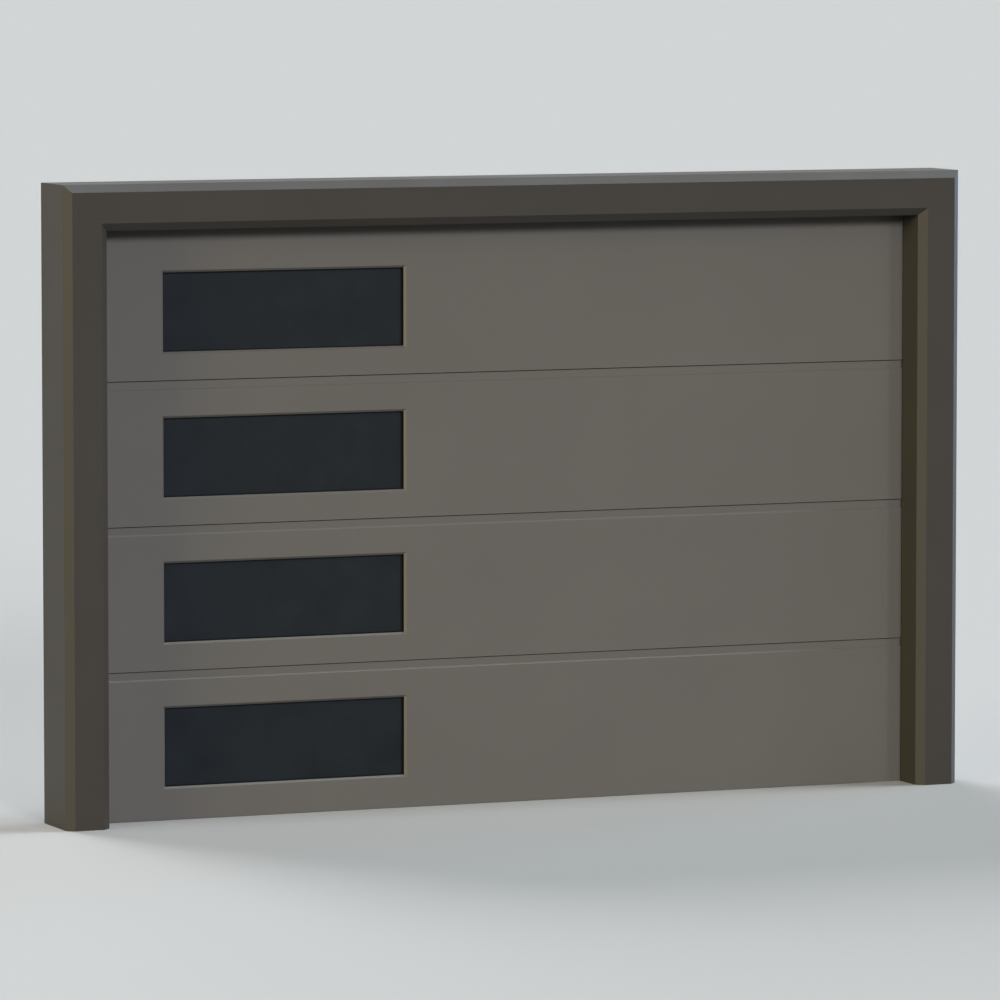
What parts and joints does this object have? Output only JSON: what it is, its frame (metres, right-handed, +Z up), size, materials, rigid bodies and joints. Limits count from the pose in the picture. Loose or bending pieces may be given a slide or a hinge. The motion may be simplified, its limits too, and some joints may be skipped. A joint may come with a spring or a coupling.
{
  "type": "sectional garage door",
  "caption": "Closed sectional garage door of flat stacked sections with dark windows at one side, in a deep chamfered surround, with hinges, rollers and vertical tracks inside.",
  "frame": {"origin": "on the floor, midway between the jambs and midway through the depth of the surround", "axes": "+X along the door, to the right seen from outside; +Y from outside into the garage; +Z up"},
  "size_m": [3.31, 0.24, 2.155],
  "materials": {
    "frame": "fine satin powder coat in dark taupe on extruded aluminium",
    "leaf": "smooth satin coil coat in warm greige on the outer steel skins; the inner skins are grey-white with a stucco grain",
    "seal": "matt black weather seal rubber",
    "pane": "dark smoked glazing, near opaque, with a clear gloss",
    "window_frame": "matt black moulded frame with a fine grain",
    "spacer": "matt black warm-edge spacer",
    "galvanised": "hot-dip galvanised sheet with a faint spangle",
    "steel": "bright zinc-plated turned steel",
    "wheel": "off-white nylon"
  },
  "bodies": {
    "root": {"frame_jamb_left": "frame", "frame_jamb_right": "frame", "frame_head": "frame", "section_1": "leaf", "section_2": "leaf", "section_3": "leaf", "section_4": "leaf", "seal_left": "seal", "seal_right": "seal", "seal_head": "seal", "seal_foot": "seal", "window_gasket_1": "seal", "window_gasket_2": "seal", "window_gasket_3": "seal", "window_gasket_4": "seal", "window_panes_1": "pane", "window_panes_2": "pane", "window_panes_3": "pane", "window_panes_4": "pane", "window_frame_1": "window_frame", "window_frame_2": "window_frame", "window_frame_3": "window_frame", "window_frame_4": "window_frame", "window_spacers": "spacer", "track_left": "galvanised", "track_right": "galvanised", "bottom_brackets": "galvanised", "top_brackets": "galvanised", "end_caps_1": "galvanised", "end_caps_2": "galvanised", "end_caps_3": "galvanised", "end_caps_4": "galvanised", "hinge_lower_leaves_1": "galvanised", "hinge_lower_leaves_2": "galvanised", "hinge_lower_leaves_3": "galvanised", "hinge_upper_leaves_1": "galvanised", "hinge_upper_leaves_2": "galvanised", "hinge_upper_leaves_3": "galvanised", "roller_stems": "steel", "hinge_pins_1": "steel", "hinge_pins_2": "steel", "hinge_pins_3": "steel", "roller_wheels": "wheel"}
  },
  "joints": []
}
